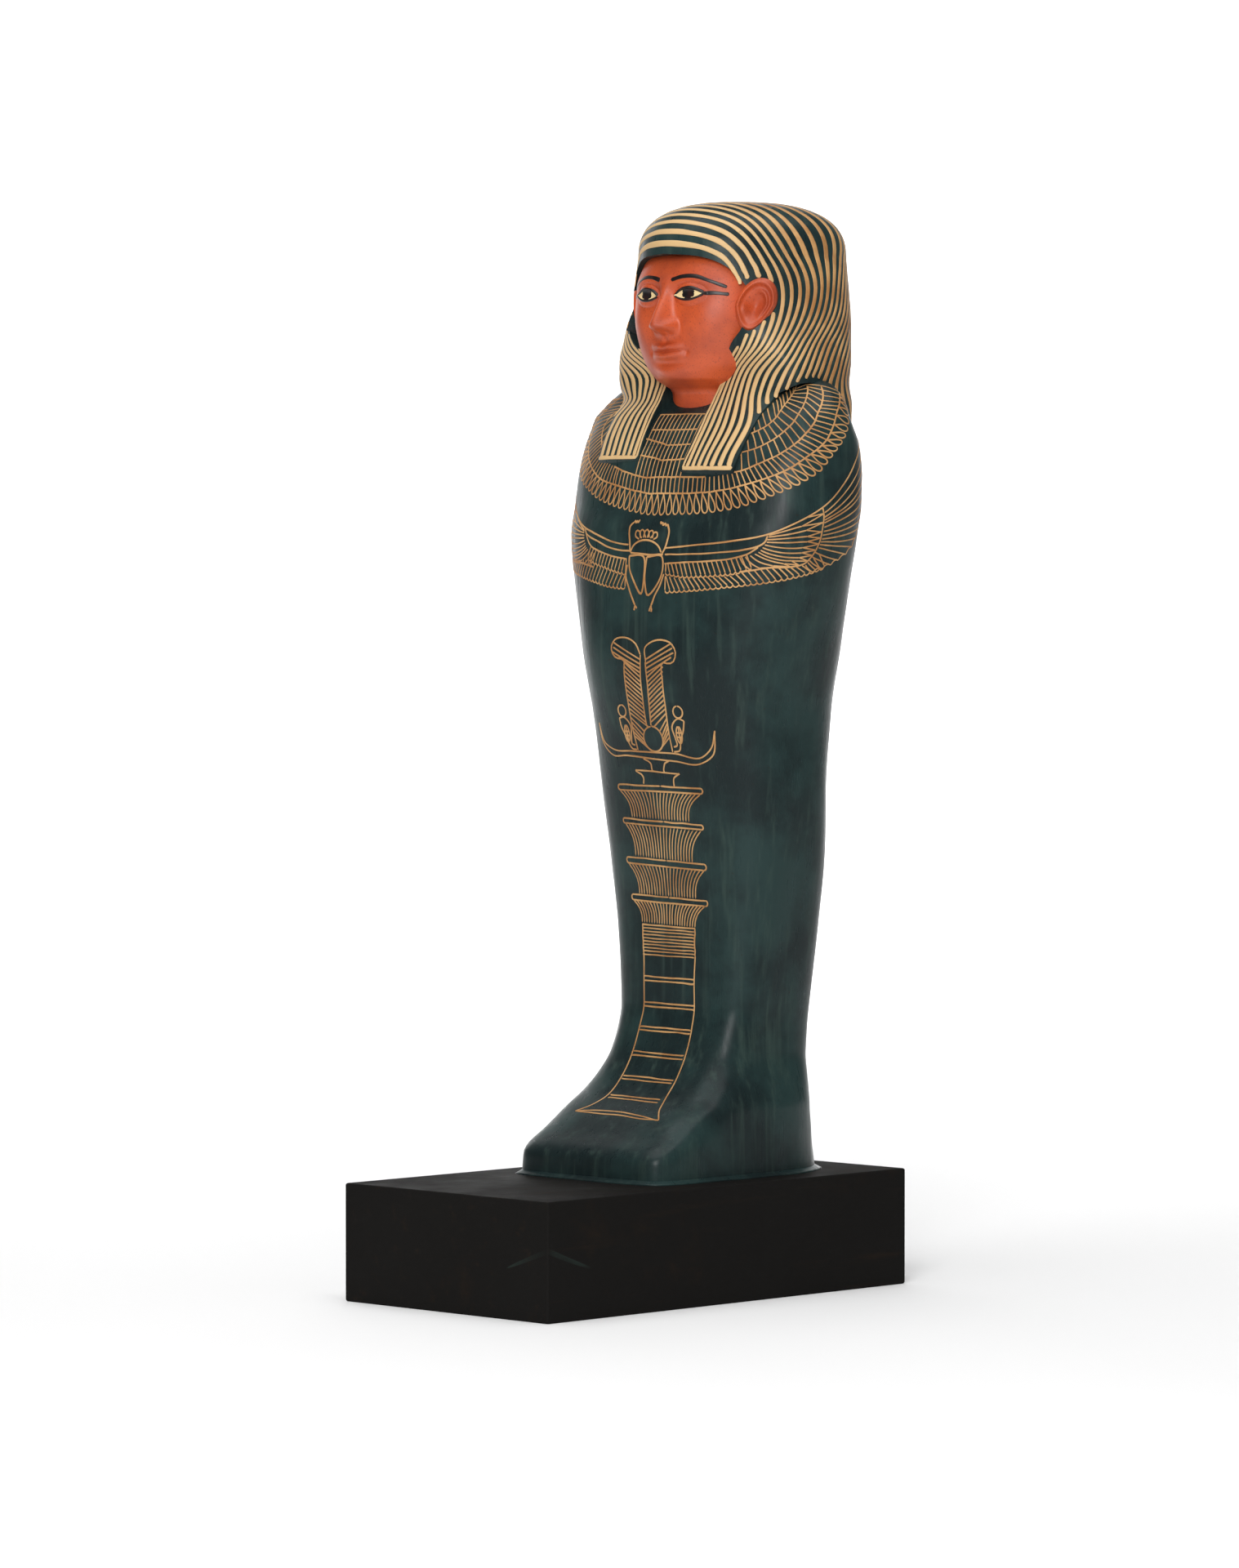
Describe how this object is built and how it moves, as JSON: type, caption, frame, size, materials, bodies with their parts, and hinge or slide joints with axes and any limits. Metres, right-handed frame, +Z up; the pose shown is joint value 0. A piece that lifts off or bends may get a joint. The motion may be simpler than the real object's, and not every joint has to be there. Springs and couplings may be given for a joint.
{
  "type": "ptah-sokar-osiris figure",
  "caption": "Mummiform funerary figure of painted wood with a striped wig, standing on its long black base.",
  "frame": {"origin": "middle of the base's underside", "axes": "+Z up, -Y the way the figure faces, +X the figure's left side"},
  "size_m": [0.195, 0.2906, 0.6251],
  "materials": {
    "body_paint": "dark blue-green paint over gesso on wood, semi-gloss",
    "line_paint": "tan and gold brush lines, painted on the wood, matt to semi-gloss",
    "skin_paint": "red-brown paint on the face, ears and neck, semi-matt",
    "eye_paint": "cream and black paint of the eyes and brows",
    "base_paint": "black paint on wood, worn, with a faint grain and fine scratches"
  },
  "bodies": {
    "root": {"mummiform_figure": "body_paint", "base": "base_paint"}
  },
  "joints": []
}
